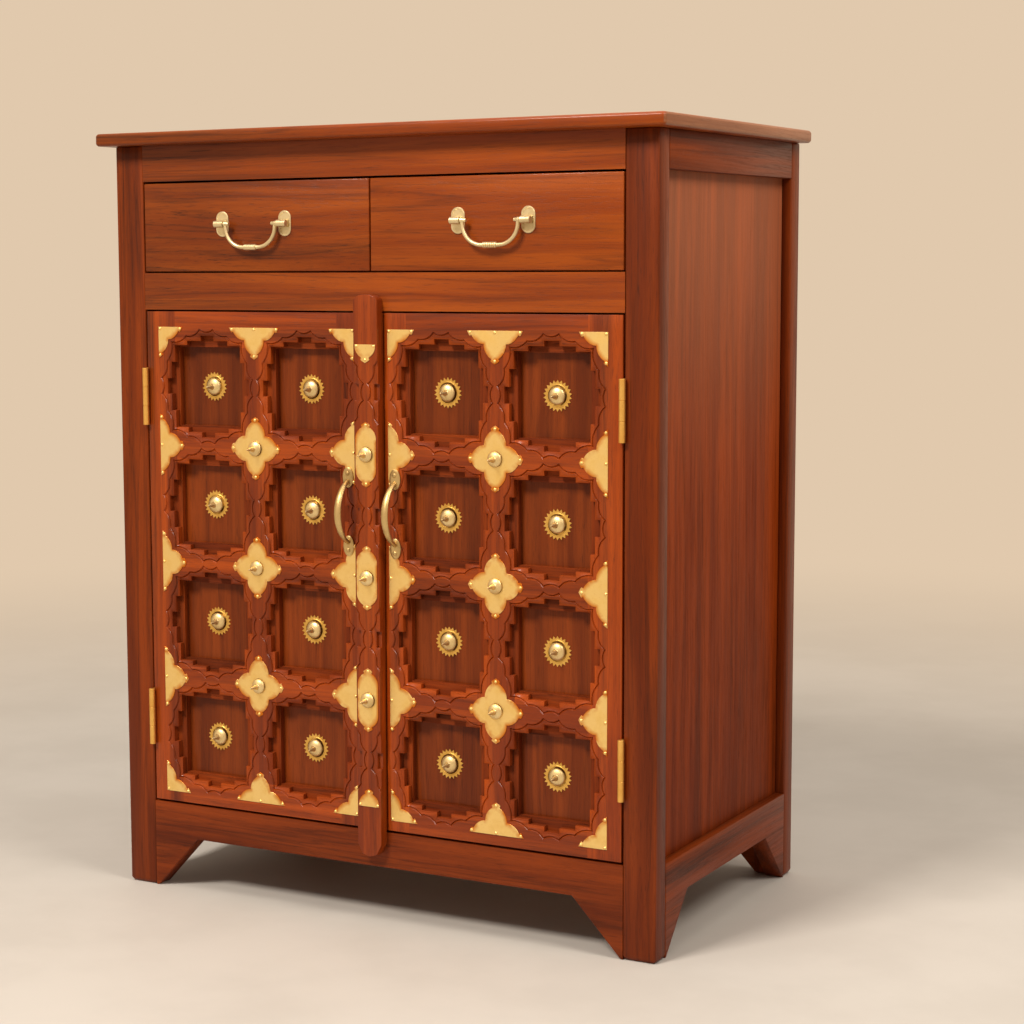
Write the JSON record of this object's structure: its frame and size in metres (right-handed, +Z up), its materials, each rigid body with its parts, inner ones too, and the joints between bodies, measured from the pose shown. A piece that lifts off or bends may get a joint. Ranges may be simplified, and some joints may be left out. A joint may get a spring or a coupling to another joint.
{
  "type": "carved cabinet",
  "caption": "Carved cabinet: hinged lattice doors set with brass plates and bosses, sliding drawers with swinging bail handles above, and posts that run down as feet.",
  "frame": {"origin": "on the floor, under the middle of the cabinet's bounding box", "axes": "+Z up, +X to the right seen from the front, -Y out of the front"},
  "size_m": [0.904, 0.5526, 1.12],
  "materials": {
    "lacquered_wood": "satin lacquer",
    "panel_wood": "satin lacquer",
    "inner_wood": "plain sanded",
    "plate_brass": "aged satin",
    "boss_brass": "polished, worn",
    "fitting_brass": "aged satin",
    "catch_plastic": "matte"
  },
  "bodies": {
    "carcass": {"top_slab": "lacquered_wood", "post_front_left": "lacquered_wood", "post_front_right": "lacquered_wood", "post_rear_left": "lacquered_wood", "post_rear_right": "lacquered_wood", "front_top_rail": "lacquered_wood", "front_middle_rail": "lacquered_wood", "front_base_rail": "lacquered_wood", "side_top_rails": "lacquered_wood", "side_base_rail_left": "lacquered_wood", "side_base_rail_right": "lacquered_wood", "side_panel_left": "panel_wood", "side_panel_right": "panel_wood", "rear_top_rail": "lacquered_wood", "rear_base_rail": "lacquered_wood", "back_panel": "panel_wood", "floor_board": "inner_wood", "drawer_deck": "inner_wood", "shelf": "inner_wood", "shelf_cleats": "inner_wood", "drawer_guides": "inner_wood", "hinge_frame_leaves": "fitting_brass", "door_catches": "catch_plastic"},
    "left_door": {"left_door_meeting_stile": "lacquered_wood", "left_door_hinge_stile": "lacquered_wood", "left_door_top_rail": "lacquered_wood", "left_door_bottom_rail": "lacquered_wood", "left_door_muntin": "lacquered_wood", "left_door_cross_rails": "lacquered_wood", "left_door_panels": "panel_wood", "left_door_plates": "plate_brass", "left_door_bosses": "boss_brass", "left_door_rosettes": "plate_brass", "left_door_pull": "fitting_brass", "left_door_hinge_leaves": "fitting_brass", "centre_batten": "lacquered_wood", "centre_batten_plates": "plate_brass", "centre_batten_bosses": "boss_brass"},
    "right_door": {"right_door_meeting_stile": "lacquered_wood", "right_door_hinge_stile": "lacquered_wood", "right_door_top_rail": "lacquered_wood", "right_door_bottom_rail": "lacquered_wood", "right_door_muntin": "lacquered_wood", "right_door_cross_rails": "lacquered_wood", "right_door_panels": "panel_wood", "right_door_plates": "plate_brass", "right_door_bosses": "boss_brass", "right_door_rosettes": "plate_brass", "right_door_pull": "fitting_brass", "right_door_hinge_leaves": "fitting_brass"},
    "left_drawer": {"left_drawer_front": "lacquered_wood", "left_drawer_sides": "inner_wood", "left_drawer_bottom": "inner_wood", "left_bail_eyes": "fitting_brass"},
    "left_bail": {"left_bail": "fitting_brass"},
    "right_drawer": {"right_drawer_front": "lacquered_wood", "right_drawer_sides": "inner_wood", "right_drawer_bottom": "inner_wood", "right_bail_eyes": "fitting_brass"},
    "right_bail": {"right_bail": "fitting_brass"}
  },
  "joints": [
    {"name": "left_door_hinge", "type": "hinge", "parent": "carcass", "child": "left_door", "pos_m": [-0.3837, -0.24245, 0.4978], "axis": [0, 0, -1], "range_deg": [0, 165]},
    {"name": "left_drawer_slide", "type": "slide", "parent": "carcass", "child": "left_drawer", "axis": [0, -1, 0], "range_m": [0, 0.35]},
    {"name": "left_bail_pivot", "type": "hinge", "parent": "left_drawer", "child": "left_bail", "pos_m": [-0.192, -0.24725, 0.9873], "axis": [-1, 0, 0], "range_deg": [-8, 170]},
    {"name": "right_door_hinge", "type": "hinge", "parent": "carcass", "child": "right_door", "pos_m": [0.3837, -0.24245, 0.4978], "axis": [0, 0, 1], "range_deg": [0, 165]},
    {"name": "right_drawer_slide", "type": "slide", "parent": "carcass", "child": "right_drawer", "axis": [0, -1, 0], "range_m": [0, 0.35]},
    {"name": "right_bail_pivot", "type": "hinge", "parent": "right_drawer", "child": "right_bail", "pos_m": [0.192, -0.24725, 0.9873], "axis": [-1, 0, 0], "range_deg": [-8, 170]}
  ]
}
